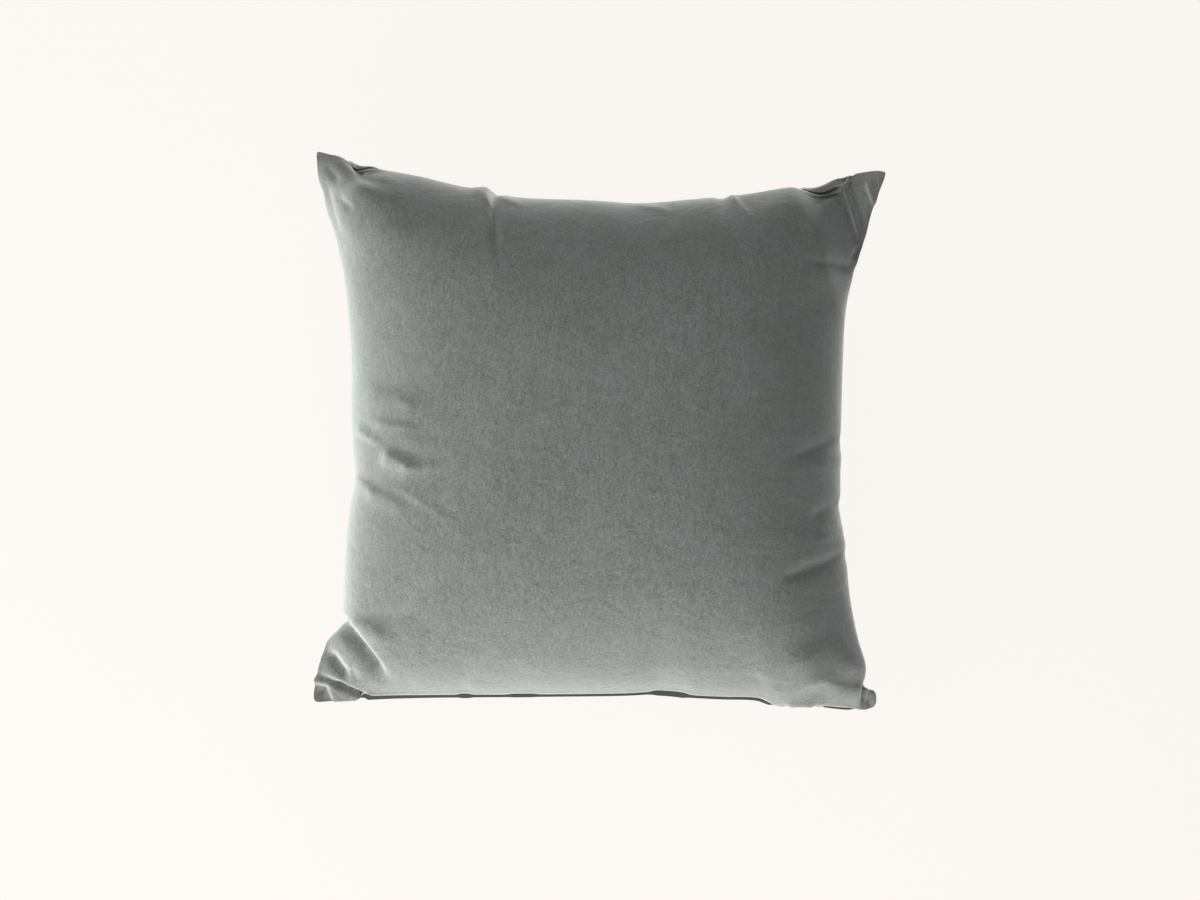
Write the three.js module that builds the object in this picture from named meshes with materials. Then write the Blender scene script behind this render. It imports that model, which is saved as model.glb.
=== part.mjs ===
// Square throw pillow in velvet, with a knife-edge seam and no piping, lying on its back. It is one filled
// solid: two square panels sewn on four sides and pushed apart by the filling, so the sides are drawn in
// between four corner ears, the front panel is crowned, and the back panel is flat where it meets the
// floor. Millimetres. X runs across the face, Y up the face and Z up from the floor, with the origin under
// the middle.
import * as THREE from "three";

// Heights
const SEAM_HEIGHT = 72; // the seam above the floor
const CROWN_RISE = 85; // the front panel's middle above the seam
const BACK_DROP = 86; // the back panel's middle below the seam, if no floor stopped it
const CONTACT_EASE = 5; // height over which the back panel eases onto the floor

// The tables below are measured from the middle of the crown, which lies here from the footprint's middle.
const CROWN_MIDDLE = { x: 1.08, y: 0.92 };

// Shape of the crown. A larger flank power gives a flatter middle and a steeper, narrower flank.
const FLANK_POWER = { left: 2.8, right: 2.85, top: 3.1, bottom: 2.4 };
const CROWN_POWER = 0.54; // 0.5 makes the flanks stand upright at the seam

// Seam: the panels' turned edges, with the stitch line sunk between them
const TURNED_EDGE = 2.0; // from the stitch line to the top of a panel's turned edge
const STITCH_SINK = 1.8; // from the outline in to the stitch line
const PANEL_HALF = 250; // half of a panel's side, from seam to seam

// Mesh
const FRONT_CELLS = 66; // cells along each side of the front panel
const BACK_STEP = 2; // front cells beside each cell of the plainer back panel
const BACK_CELLS = FRONT_CELLS / BACK_STEP;
const EDGE_DENSITY = 0.75; // how far the cells crowd towards the seam, from 0 to 1

// The outline along the seam. Each side starts and ends on a corner tip, and its rows run left to right or
// bottom to top. The sides are drawn in by about 35 mm, and an ear breaks from its side at a nick.
const TIPS = {
  bottomLeft: { x: -256, y: -243.5 },
  bottomRight: { x: 248, y: -251 },
  topLeft: { x: -253.5, y: 251 },
  topRight: { x: 255.5, y: 230.5 },
};
const SIDES = {
  bottom: [
    TIPS.bottomLeft,
    { x: -232, y: -237.5 },
    { x: -206, y: -235 },
    { x: -186, y: -234 },
    { x: -150, y: -233.5 },
    { x: -60, y: -233 },
    { x: 24, y: -232 },
    { x: 48, y: -230.8 },
    { x: 66, y: -231.8 },
    { x: 78, y: -233.4 },
    { x: 107, y: -235 },
    { x: 138, y: -236 },
    { x: 150, y: -240 },
    { x: 164, y: -240.5 },
    { x: 181, y: -240.5 },
    { x: 192, y: -241.5 },
    { x: 214, y: -245 },
    { x: 228, y: -247 },
    TIPS.bottomRight,
  ],
  top: [
    TIPS.topLeft,
    { x: -226, y: 235.5 },
    { x: -214, y: 233 },
    { x: -196, y: 229.5 },
    { x: -178, y: 224 },
    { x: -154, y: 220.5 },
    { x: -112, y: 211.5 },
    { x: -97, y: 212 },
    { x: -88, y: 206.5 },
    { x: -70, y: 203 },
    { x: -8, y: 200.5 },
    { x: 34, y: 198 },
    { x: 76, y: 201 },
    { x: 128, y: 206 },
    { x: 166, y: 212 },
    { x: 191, y: 213 },
    { x: 208, y: 220.5 },
    { x: 230, y: 225 },
    TIPS.topRight,
  ],
  left: [
    TIPS.bottomLeft,
    { x: -249.6, y: -218 },
    { x: -245, y: -201 },
    { x: -239, y: -184 },
    { x: -227, y: -171 },
    { x: -220.5, y: -163.5 },
    { x: -221.5, y: -155 },
    { x: -219.5, y: -94 },
    { x: -215, y: -58 },
    { x: -211, y: -42 },
    { x: -213, y: -24 },
    { x: -215, y: 24 },
    { x: -214.5, y: 50 },
    { x: -218, y: 105 },
    { x: -225, y: 156 },
    { x: -235.5, y: 191 },
    { x: -238, y: 208 },
    { x: -246, y: 233 },
    TIPS.topLeft,
  ],
  right: [
    TIPS.bottomRight,
    { x: 246, y: -237 },
    { x: 242, y: -228.5 },
    { x: 236.5, y: -224 },
    { x: 233.5, y: -219 },
    { x: 232.5, y: -204 },
    { x: 226, y: -183 },
    { x: 222.5, y: -168 },
    { x: 217.5, y: -138 },
    { x: 214, y: -96 },
    { x: 211, y: -84 },
    { x: 210, y: -42 },
    { x: 211, y: 22 },
    { x: 214, y: 97 },
    { x: 217, y: 118 },
    { x: 223.5, y: 142 },
    { x: 231, y: 166 },
    { x: 236, y: 188 },
    { x: 243.6, y: 208 },
    TIPS.topRight,
  ],
};
const INWARD_FADE = 3; // power with which a side's shape fades towards the opposite side

// The ears: how far from the tip the cloth is flat and where the filling is full, both measured along the
// two sides together, how far the tip stands above the seam's height, the bend's reach, and how much
// further the ear runs along its upright side than along its level one. The ear at the bottom right is bent
// down behind the pillow, and the one at the top right is raised.
const EARS = [
  { acrossX: -1, acrossY: 1, flat: 14, filled: 80, lift: -3, bend: 110, skew: 0 },
  { acrossX: 1, acrossY: 1, flat: 52, filled: 112, lift: 20, bend: 72, skew: 0.27 },
  { acrossX: -1, acrossY: -1, flat: 15, filled: 120, lift: -2, bend: 110, skew: 0 },
  { acrossX: 1, acrossY: -1, flat: 5, filled: 43, lift: -22, bend: 70, skew: 0 },
];
const EAR_LEAST = 0.08; // share of the crown's height left in the flat cloth
const TIP_BLUNT = 0.034; // share by which a tip is rounded back towards the middle
const TIP_BLUNT_REACH = 16; // a larger power keeps the rounding nearer the tip

// Where the seam rolls over, so that the other panel shows past it: where along its side, from -1 to 1, the
// roll starts, is deepest from and to, and ends, how far the seam moves in, and the panel that it leans
// over.
const SEAM_ROLLS = [
  { side: "top", start: -0.88, deepFrom: -0.83, deepTo: -0.83, end: -0.68, inward: 6, onto: "front" },
  { side: "top", start: -0.37, deepFrom: -0.34, deepTo: -0.34, end: -0.3, inward: 2, onto: "front" },
  { side: "top", start: 0.38, deepFrom: 0.42, deepTo: 0.42, end: 0.46, inward: 2.5, onto: "front" },
  { side: "top", start: 0.64, deepFrom: 0.79, deepTo: 0.81, end: 0.88, inward: 11, onto: "front" },
  { side: "left", start: -0.9, deepFrom: -0.86, deepTo: -0.71, end: -0.67, inward: 1.8, onto: "front" },
  { side: "left", start: 0.6, deepFrom: 0.7, deepTo: 0.7, end: 0.84, inward: 1.5, onto: "front" },
  { side: "bottom", start: -0.83, deepFrom: -0.78, deepTo: 0.58, end: 0.66, inward: 4.1, onto: "front" },
  { side: "bottom", start: -0.48, deepFrom: -0.455, deepTo: -0.44, end: -0.41, inward: 1.2, onto: "front" },
  { side: "bottom", start: -0.31, deepFrom: -0.28, deepTo: -0.22, end: -0.18, inward: 0.8, onto: "front" },
  { side: "bottom", start: 0.18, deepFrom: 0.215, deepTo: 0.3, end: 0.34, inward: 1.5, onto: "front" },
  { side: "bottom", start: 0.64, deepFrom: 0.7, deepTo: 0.72, end: 0.78, inward: 5, onto: "back" },
  { side: "bottom", start: 0.76, deepFrom: 0.8, deepTo: 0.88, end: 0.95, inward: 2.8, onto: "front" },
];
const LEANING_SPREAD = 22; // how far in from the seam the panel it leans over follows the roll
const LIFTED_SPREAD = 2.5; // the same for the other panel, which then swells out again
const SWELL = 4; // the most that it swells out
const SWELL_AT = 2.8; // distance from the seam to the middle of the swelling
const ROLL_HEIGHT = 0.5; // height that the seam gains for each millimetre it moves in

// Folds, from one end to the other: how far each stands out of the front panel, or in if negative, and how
// far it spreads on its left and right, seen along the way it runs. A small spread on one side makes a
// sharp crease there. In an unfilled ear both panels fold together.
const FOLDS = [
  // bottom left ear
  { x1: -216, y1: -173, x2: -189, y2: -208, out: -10, left: 4.5, right: 6.5 },
  { x1: -235, y1: -193, x2: -220, y2: -213, out: -6.5, left: 5, right: 4.5 },
  { x1: -243, y1: -213, x2: -224, y2: -221, out: -3.5, left: 3, right: 3 },
  { x1: -227, y1: -220, x2: -202, y2: -231, out: -6, left: 2, right: 3 },
  { x1: -221, y1: -162, x2: -209, y2: -175, out: -3, left: 2, right: 3 },
  { x1: -215, y1: -160, x2: -182, y2: -179, out: 3, left: 7, right: 8 },
  // top left ear
  { x1: -195, y1: 212, x2: -173, y2: 159, out: 8, left: 24, right: 34 },
  { x1: -234, y1: 236, x2: -193, y2: 194, out: 7, left: 8, right: 22 },
  { x1: -214, y1: 226, x2: -204, y2: 222, out: -4, left: 2.5, right: 3 },
  { x1: -208, y1: 215, x2: -181, y2: 207, out: -2.5, left: 5, right: 7 },
  // top right ear
  { x1: 213, y1: 213, x2: 226, y2: 169, out: 4.5, left: 4, right: 2.2 },
  { x1: 219, y1: 207, x2: 228, y2: 176, out: -2, left: 4, right: 3 },
  { x1: 182, y1: 143, x2: 219, y2: 140, out: -2.5, left: 4, right: 6 },
  // left side
  { x1: -198, y1: 30, x2: -151, y2: 19, out: 2.8, left: 10, right: 14 },
  { x1: -188, y1: 7, x2: -158, y2: 3, out: 3, left: 2.4, right: 7 },
  { x1: -181, y1: -19, x2: -157, y2: -31, out: 5, left: 4, right: 11 },
  { x1: -209, y1: -40, x2: -190, y2: -53, out: 2.2, left: 2.5, right: 7 },
  { x1: -194, y1: -52, x2: -167, y2: -64, out: 2.6, left: 5, right: 9 },
  // right side
  { x1: 168, y1: -22, x2: 206, y2: -9, out: -2.6, left: 6, right: 6 },
  { x1: 183, y1: -74, x2: 210, y2: -63, out: -2.6, left: 5, right: 7 },
  { x1: 169, y1: -122, x2: 213, y2: -108, out: -3, left: 6, right: 7 },
  // top side
  { x1: -91, y1: 206, x2: -86, y2: 155, out: -2.6, left: 2.6, right: 7 },
  // bottom right ear
  { x1: 233, y1: -220, x2: 231, y2: -240, out: -5, left: 3, right: 2.5 },
  { x1: 172, y1: -189, x2: 183, y2: -221, out: 5, left: 20, right: 18 },
];
const FOLD_TAPER = { full: 0.28, ease: 0.3 }; // shares of a fold's length, from its middle out
const EAR_FOLD_FULLNESS = 0.15; // fullness from which the back panel takes no more of the folds

const clamp01 = (value) => Math.min(1, Math.max(0, value));
const smoothStep = (value) => clamp01(value) ** 2 * (3 - 2 * clamp01(value));

// A side as a smooth curve, read at -1 to 1 by its own length.
function sideCurve(rows) {
  const points = rows.map(({ x, y }) => new THREE.Vector3(x, y, 0));
  const curve = new THREE.CatmullRomCurve3(points, false, "centripetal");
  return (along) => curve.getPointAt((along + 1) / 2);
}

const outline = Object.fromEntries(Object.entries(SIDES).map(([name, rows]) => [name, sideCurve(rows)]));

// How far a side's curve lies from the straight line between its two tips.
function offStraight(side, along) {
  const straight = side(-1).lerp(side(1), (along + 1) / 2);
  return side(along).sub(straight);
}

// The distance from a corner's tip along both sides together, in millimetres on the flat panel.
function fromTip(ear, s, t) {
  const [level, upright] = [1 - ear.acrossX * s, 1 - ear.acrossY * t];
  return PANEL_HALF * ((1 + ear.skew) * level + (1 - ear.skew) * upright);
}

// The sheet that spans the seam, at -1 to 1 across and up the panel. The filling pushes both panels away
// from it.
function seamSheet(s, t) {
  const blunt = 1 - TIP_BLUNT * Math.abs(s * t) ** TIP_BLUNT_REACH;
  const [across, up] = [(s + 1) / 2, (t + 1) / 2];
  const low = new THREE.Vector3().lerpVectors(outline.bottom(-1), outline.bottom(1), across);
  const high = new THREE.Vector3().lerpVectors(outline.top(-1), outline.top(1), across);
  const point = low.lerp(high, up);
  point.addScaledVector(offStraight(outline.left, t), (1 - across) ** INWARD_FADE);
  point.addScaledVector(offStraight(outline.right, t), across ** INWARD_FADE);
  point.addScaledVector(offStraight(outline.bottom, s), (1 - up) ** INWARD_FADE);
  point.addScaledVector(offStraight(outline.top, s), up ** INWARD_FADE);
  point.multiplyScalar(blunt);
  point.z = SEAM_HEIGHT;
  for (const ear of EARS) point.z += ear.lift * smoothStep(1 - fromTip(ear, s, t) / ear.bend);
  return point;
}

// The filling's share of its full depth, from 0 at the seam to 1 in the middle.
function fullness(s, t) {
  const across = 1 - Math.abs(s) ** (s < 0 ? FLANK_POWER.left : FLANK_POWER.right);
  const up = 1 - Math.abs(t) ** (t < 0 ? FLANK_POWER.bottom : FLANK_POWER.top);
  let share = Math.max(0, across * up) ** CROWN_POWER;
  for (const ear of EARS) {
    const filled = (fromTip(ear, s, t) - ear.flat) / (ear.filled - ear.flat);
    share *= EAR_LEAST + (1 - EAR_LEAST) * smoothStep(filled);
  }
  return share;
}

// For each side: the place along it, the distance in from it on the flat panel, and the way in.
const FROM_SIDE = {
  bottom: (s, t) => ({ along: s, distance: PANEL_HALF * (1 + t), inX: 0, inY: 1 }),
  top: (s, t) => ({ along: s, distance: PANEL_HALF * (1 - t), inX: 0, inY: -1 }),
  left: (s, t) => ({ along: t, distance: PANEL_HALF * (1 + s), inX: 1, inY: 0 }),
  right: (s, t) => ({ along: t, distance: PANEL_HALF * (1 - s), inX: -1, inY: 0 }),
};

// How far a roll of the seam moves a point of one panel.
function rollShift(roll, panel, s, t) {
  const { along, distance, inX, inY } = FROM_SIDE[roll.side](s, t);
  const rising = (along - roll.start) / (roll.deepFrom - roll.start);
  const falling = (roll.end - along) / (roll.end - roll.deepTo);
  const share = roll.inward * smoothStep(Math.min(rising, falling));
  const atSeam = share * Math.exp(-((distance / LIFTED_SPREAD) ** 2));
  const upwards = roll.onto === "front" ? 1 : -1;
  let follow = share * Math.exp(-((distance / LEANING_SPREAD) ** 2));
  if (panel !== roll.onto) {
    const swelling = (distance / SWELL_AT) * Math.exp(1 - distance / SWELL_AT);
    follow = atSeam - SWELL * smoothStep(share / SWELL) * swelling;
  }
  return new THREE.Vector3(inX * follow, inY * follow, upwards * ROLL_HEIGHT * atSeam);
}

// How far a fold lifts the panel at a point.
function foldLift(fold, x, y) {
  const [runX, runY] = [fold.x2 - fold.x1, fold.y2 - fold.y1];
  const length = Math.hypot(runX, runY);
  const along = ((x - fold.x1) * runX + (y - fold.y1) * runY) / length ** 2;
  const leftward = ((y - fold.y1) * runX - (x - fold.x1) * runY) / length;
  const spread = leftward > 0 ? fold.left : fold.right;
  const beyond = Math.max(0, Math.abs(along - 0.5) - FOLD_TAPER.full) / FOLD_TAPER.ease;
  return fold.out * Math.exp(-((leftward / spread) ** 2) - beyond ** 2);
}

// The cells crowd towards the seam, where the panels curve most.
function cellEdge(index, cells) {
  const even = (2 * index) / cells - 1;
  return THREE.MathUtils.lerp(even, Math.sin((Math.PI / 2) * even), EDGE_DENSITY);
}

// Makes a grid of rows, each place filled from its number across and its number up.
function grid(cells, fill) {
  const rows = [];
  for (let j = 0; j <= cells; j++) {
    const row = [];
    for (let i = 0; i <= cells; i++) row.push(fill(i, j));
    rows.push(row);
  }
  return rows;
}

// One panel before its folds: the seam sheet pushed out by the filling, with the seam's rolls.
function smoothPanel(panel, cells) {
  const [upwards, depth] = panel === "front" ? [1, CROWN_RISE] : [-1, BACK_DROP];
  return grid(cells, (i, j) => {
    const [s, t] = [cellEdge(i, cells), cellEdge(j, cells)];
    const point = seamSheet(s, t);
    point.z += upwards * (TURNED_EDGE + depth * fullness(s, t));
    for (const roll of SEAM_ROLLS) point.add(rollShift(roll, panel, s, t));
    return point;
  });
}

// What the folds add at each place: along the front panel's own normals.
function foldShifts(front) {
  return grid(FRONT_CELLS, (i, j) => {
    const point = front[j][i];
    const [west, east] = [front[j][Math.max(0, i - 1)], front[j][Math.min(FRONT_CELLS, i + 1)]];
    const [south, north] = [front[Math.max(0, j - 1)][i], front[Math.min(FRONT_CELLS, j + 1)][i]];
    const normal = east.clone().sub(west).cross(north.clone().sub(south)).normalize();
    const lift = FOLDS.reduce((sum, fold) => sum + foldLift(fold, point.x, point.y), 0);
    return normal.multiplyScalar(lift);
  });
}

// Eases what would be under the floor onto it, so that the panel has a level contact patch.
function restOnFloor(point) {
  const height = point.z;
  if (height < -CONTACT_EASE) point.z = 0;
  else if (height < CONTACT_EASE) point.z = (height + CONTACT_EASE) ** 2 / (4 * CONTACT_EASE);
  return point;
}

// The front panel's grid places round its edge, anticlockwise from the bottom left tip.
function edgePlaces() {
  const last = FRONT_CELLS;
  const run = Array.from({ length: last }, (_, k) => k);
  return [
    ...run.map((k) => [k, 0]),
    ...run.map((k) => [last, k]),
    ...run.map((k) => [last - k, last]),
    ...run.map((k) => [0, last - k]),
  ];
}

// The back panel's edge at each place of the front panel's edge. Places between its own take their middle.
function backEdge(back, places) {
  const own = places.map(([i, j]) => back[Math.floor(j / BACK_STEP)][Math.floor(i / BACK_STEP)]);
  return own.map((point, k) => {
    if (k % BACK_STEP === 0) return point;
    return own[k - 1].clone().lerp(own[(k + 1) % own.length], 1 / BACK_STEP);
  });
}

// The stitch line: halfway between the panels' edges and sunk in from the outline.
function stitchLine(front, back) {
  const places = edgePlaces();
  const beneath = backEdge(back, places);
  const middle = places.map(([i, j], k) => front[j][i].clone().lerp(beneath[k], 0.5));
  return middle.map((point, k) => {
    const before = middle[(k + middle.length - 1) % middle.length];
    const after = middle[(k + 1) % middle.length];
    const inward = new THREE.Vector3(before.y - after.y, after.x - before.x, 0).normalize();
    return point.clone().addScaledVector(inward, STITCH_SINK);
  });
}

// Joins both panels and the stitch line into one closed surface, its faces pointing out.
function pillowGeometry() {
  const smoothFront = smoothPanel("front", FRONT_CELLS);
  const smoothBack = smoothPanel("back", BACK_CELLS);
  const shifts = foldShifts(smoothFront);
  const front = grid(FRONT_CELLS, (i, j) => smoothFront[j][i].clone().add(shifts[j][i]));
  const back = grid(BACK_CELLS, (i, j) => {
    const filling = fullness(cellEdge(i, BACK_CELLS), cellEdge(j, BACK_CELLS));
    const unfilled = 1 - smoothStep(filling / EAR_FOLD_FULLNESS);
    const shift = shifts[j * BACK_STEP][i * BACK_STEP];
    return restOnFloor(smoothBack[j][i].addScaledVector(shift, unfilled));
  });
  const points = [...front.flat(), ...back.flat(), ...stitchLine(front, back)];
  const backStart = (FRONT_CELLS + 1) ** 2;
  const stitchStart = backStart + (BACK_CELLS + 1) ** 2;
  const places = edgePlaces();
  const frontAt = ([i, j]) => j * (FRONT_CELLS + 1) + i;
  const backAt = ([i, j]) => backStart + j * (BACK_CELLS + 1) + i;
  const backUnder = ([i, j]) => backAt([Math.floor(i / BACK_STEP), Math.floor(j / BACK_STEP)]);
  const placeAt = (k) => places[k % places.length];
  const stitchAt = (k) => stitchStart + (k % places.length);
  const faces = [];
  // Splits a four-cornered cell along its shorter diagonal.
  const addCell = (a, b, c, d) => {
    if (points[a].distanceTo(points[c]) <= points[b].distanceTo(points[d])) faces.push(a, b, c, a, c, d);
    else faces.push(a, b, d, b, c, d);
  };
  const around = (i, j) => [[i, j], [i + 1, j], [i + 1, j + 1], [i, j + 1]];
  grid(FRONT_CELLS - 1, (i, j) => addCell(...around(i, j).map(frontAt)));
  grid(BACK_CELLS - 1, (i, j) => addCell(...around(i, j).map(backAt).reverse()));
  places.forEach((place, k) => {
    addCell(stitchAt(k), stitchAt(k + 1), frontAt(placeAt(k + 1)), frontAt(place));
  });
  for (let k = 0; k < places.length; k += BACK_STEP) {
    const [near, far] = [backUnder(placeAt(k)), backUnder(placeAt(k + BACK_STEP))];
    const [first, middle, last] = [stitchAt(k), stitchAt(k + 1), stitchAt(k + 2)];
    faces.push(near, far, middle, far, last, middle, near, middle, first);
  }
  const positions = new Float32Array(points.flatMap(({ x, y, z }) => [x, y, z]));
  const geometry = new THREE.BufferGeometry();
  geometry.setAttribute("position", new THREE.BufferAttribute(positions, 3));
  geometry.setIndex(faces);
  geometry.translate(CROWN_MIDDLE.x, CROWN_MIDDLE.y, 0);
  geometry.computeVertexNormals();
  return geometry;
}

const velvet = new THREE.MeshStandardMaterial({ color: 0x70756f, roughness: 0.95, metalness: 0 });

const pillow = new THREE.Mesh(pillowGeometry(), velvet);
pillow.name = "pillow";

const group = new THREE.Group();
group.add(pillow);

export default group;
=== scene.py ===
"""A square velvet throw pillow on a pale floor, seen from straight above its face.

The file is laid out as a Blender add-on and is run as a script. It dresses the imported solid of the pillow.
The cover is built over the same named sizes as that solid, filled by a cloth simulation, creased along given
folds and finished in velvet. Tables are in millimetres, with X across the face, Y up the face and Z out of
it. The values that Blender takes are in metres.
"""

import math
from collections import namedtuple

import bpy
import numpy as np
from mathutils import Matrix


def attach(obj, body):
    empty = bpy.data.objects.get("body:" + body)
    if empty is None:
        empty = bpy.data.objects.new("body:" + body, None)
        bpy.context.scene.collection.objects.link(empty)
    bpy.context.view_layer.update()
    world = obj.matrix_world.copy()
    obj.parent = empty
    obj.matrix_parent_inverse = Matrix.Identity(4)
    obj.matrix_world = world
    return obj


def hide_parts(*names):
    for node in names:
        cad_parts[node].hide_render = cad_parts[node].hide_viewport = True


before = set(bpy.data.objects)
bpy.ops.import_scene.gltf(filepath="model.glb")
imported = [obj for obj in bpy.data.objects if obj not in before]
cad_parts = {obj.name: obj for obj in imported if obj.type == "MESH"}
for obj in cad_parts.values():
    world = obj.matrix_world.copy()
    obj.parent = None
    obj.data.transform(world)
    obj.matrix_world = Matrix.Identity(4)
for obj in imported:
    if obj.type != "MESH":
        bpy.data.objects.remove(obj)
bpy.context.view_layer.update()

bl_info = {
    "name": "Velvet throw pillow",
    "version": (1, 0, 0),
    "blender": (4, 5, 0),
    "location": "View3D > Sidebar > Pillow",
    "description": "Builds a filled square velvet pillow and the stage it lies on",
    "category": "Object",
}

MM = 0.001
NODE = "pillow"
BODY = "root"

# The filled form, with the same values as the solid

# A larger flank power gives a flatter middle and a steeper, narrower flank.
FLANK_POWER = {"left": 2.8, "right": 2.85, "top": 3.1, "bottom": 2.4}
CROWN_POWER = 0.54  # 0.5 makes the flanks stand upright at the seam
PANEL_HALF = 250.0  # half of a panel's side, from seam to seam
INWARD_FADE = 3.0  # power with which a side's shape fades towards the opposite side
EAR_LEAST = 0.08  # share of the crown's height left in the flat cloth of an ear
TIP_BLUNT = 0.034  # share by which a tip is rounded back towards the middle
TIP_BLUNT_REACH = 16  # a larger power keeps the rounding nearer the tip
CONTACT_EASE = 5.0  # height over which the back panel eases onto the floor
EDGE_DENSITY = 0.75  # how far the cells crowd towards the seam, from 0 to 1

# The tables are measured from the middle of the crown, which lies here from the footprint's middle.
CROWN_MIDDLE = (1.08, 0.92)

# The outline along the seam, as (x, y) rows from left to right or from bottom to top.
TIPS = {
    "bottom_left": (-256, -243.5),
    "bottom_right": (248, -251),
    "top_left": (-253.5, 251),
    "top_right": (255.5, 230.5),
}
SIDES = {
    "bottom": [
        TIPS["bottom_left"],
        (-232, -237.5),
        (-206, -235),
        (-186, -234),
        (-150, -233.5),
        (-60, -233),
        (24, -232),
        (48, -230.8),
        (66, -231.8),
        (78, -233.4),
        (107, -235),
        (138, -236),
        (150, -240),
        (164, -240.5),
        (181, -240.5),
        (192, -241.5),
        (214, -245),
        (228, -247),
        TIPS["bottom_right"],
    ],
    "top": [
        TIPS["top_left"],
        (-226, 235.5),
        (-214, 233),
        (-196, 229.5),
        (-178, 224),
        (-154, 220.5),
        (-112, 211.5),
        (-97, 212),
        (-88, 206.5),
        (-70, 203),
        (-8, 200.5),
        (34, 198),
        (76, 201),
        (128, 206),
        (166, 212),
        (191, 213),
        (208, 220.5),
        (230, 225),
        TIPS["top_right"],
    ],
    "left": [
        TIPS["bottom_left"],
        (-249.6, -218),
        (-245, -201),
        (-239, -184),
        (-227, -171),
        (-220.5, -163.5),
        (-221.5, -155),
        (-219.5, -94),
        (-215, -58),
        (-211, -42),
        (-213, -24),
        (-215, 24),
        (-214.5, 50),
        (-218, 105),
        (-225, 156),
        (-235.5, 191),
        (-238, 208),
        (-246, 233),
        TIPS["top_left"],
    ],
    "right": [
        TIPS["bottom_right"],
        (246, -237),
        (242, -228.5),
        (236.5, -224),
        (233.5, -219),
        (232.5, -204),
        (226, -183),
        (222.5, -168),
        (217.5, -138),
        (214, -96),
        (211, -84),
        (210, -42),
        (211, 22),
        (214, 97),
        (217, 118),
        (223.5, 142),
        (231, 166),
        (236, 188),
        (243.6, 208),
        TIPS["top_right"],
    ],
}

# The unfilled ears: the corner's signs, how far from the tip the cloth is flat and where the filling is
# full, the tip's height over the seam, the bend's reach, and how much further the ear runs along its upright
# side. The distances add up those along both sides.
Ear = namedtuple("Ear", "across_x across_y flat filled lift bend skew")
EARS = [
    Ear(-1, 1, 14, 80, -3, 110, 0),
    Ear(1, 1, 52, 112, 20, 72, 0.27),
    Ear(-1, -1, 15, 120, -2, 110, 0),
    Ear(1, -1, 5, 43, -22, 70, 0),
]

# Where the seam rolls over: its side, the places where that starts, where it is deepest from and to, and
# where it ends, the distance moved in, and the panel that it leans over.
SEAM_ROLLS = [
    ("top", -0.88, -0.83, -0.83, -0.68, 6, "front"),
    ("top", -0.37, -0.34, -0.34, -0.3, 2, "front"),
    ("top", 0.38, 0.42, 0.42, 0.46, 2.5, "front"),
    ("top", 0.64, 0.79, 0.81, 0.88, 11, "front"),
    ("left", -0.9, -0.86, -0.71, -0.67, 1.8, "front"),
    ("left", 0.6, 0.7, 0.7, 0.84, 1.5, "front"),
    ("bottom", -0.83, -0.78, 0.58, 0.66, 4.1, "front"),
    ("bottom", -0.48, -0.455, -0.44, -0.41, 1.2, "front"),
    ("bottom", -0.31, -0.28, -0.22, -0.18, 0.8, "front"),
    ("bottom", 0.18, 0.215, 0.3, 0.34, 1.5, "front"),
    ("bottom", 0.64, 0.7, 0.72, 0.78, 5, "back"),
    ("bottom", 0.76, 0.8, 0.88, 0.95, 2.8, "front"),
]
LEANING_SPREAD = 22.0  # how far in from the seam the panel it leans over follows the roll
LIFTED_SPREAD = 2.5  # the same for the other panel, which then swells out again
SWELL = 4.0  # the most that it swells out
SWELL_AT = 2.8  # distance from the seam to the middle of the swelling
ROLL_HEIGHT = 0.5  # height that the seam gains for each millimetre it moves in

# The main folds, as the solid has them: x1, y1, x2, y2, out, spread on the left, spread on the right.
FOLDS = [
    # bottom left ear
    (-216, -173, -189, -208, -10, 4.5, 6.5),
    (-235, -193, -220, -213, -6.5, 5, 4.5),
    (-243, -213, -224, -221, -3.5, 3, 3),
    (-227, -220, -202, -231, -6, 2, 3),
    (-221, -162, -209, -175, -3, 2, 3),
    (-215, -160, -182, -179, 3, 7, 8),
    # top left ear
    (-195, 212, -173, 159, 8, 24, 34),
    (-234, 236, -193, 194, 7, 8, 22),
    (-214, 226, -204, 222, -4, 2.5, 3),
    (-208, 215, -181, 207, -2.5, 5, 7),
    # top right ear
    (213, 213, 226, 169, 4.5, 4, 2.2),
    (219, 207, 228, 176, -2, 4, 3),
    (182, 143, 219, 140, -2.5, 4, 6),
    # left side
    (-198, 30, -151, 19, 2.8, 10, 14),
    (-188, 7, -158, 3, 3, 2.4, 7),
    (-181, -19, -157, -31, 5, 4, 11),
    (-209, -40, -190, -53, 2.2, 2.5, 7),
    (-194, -52, -167, -64, 2.6, 5, 9),
    # right side
    (168, -22, 206, -9, -2.6, 6, 6),
    (183, -74, 210, -63, -2.6, 5, 7),
    (169, -122, 213, -108, -3, 6, 7),
    # top side
    (-91, 206, -86, 155, -2.6, 2.6, 7),
    # bottom right ear
    (233, -220, 231, -240, -5, 3, 2.5),
    (172, -189, 183, -221, 5, 20, 18),
]
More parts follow.
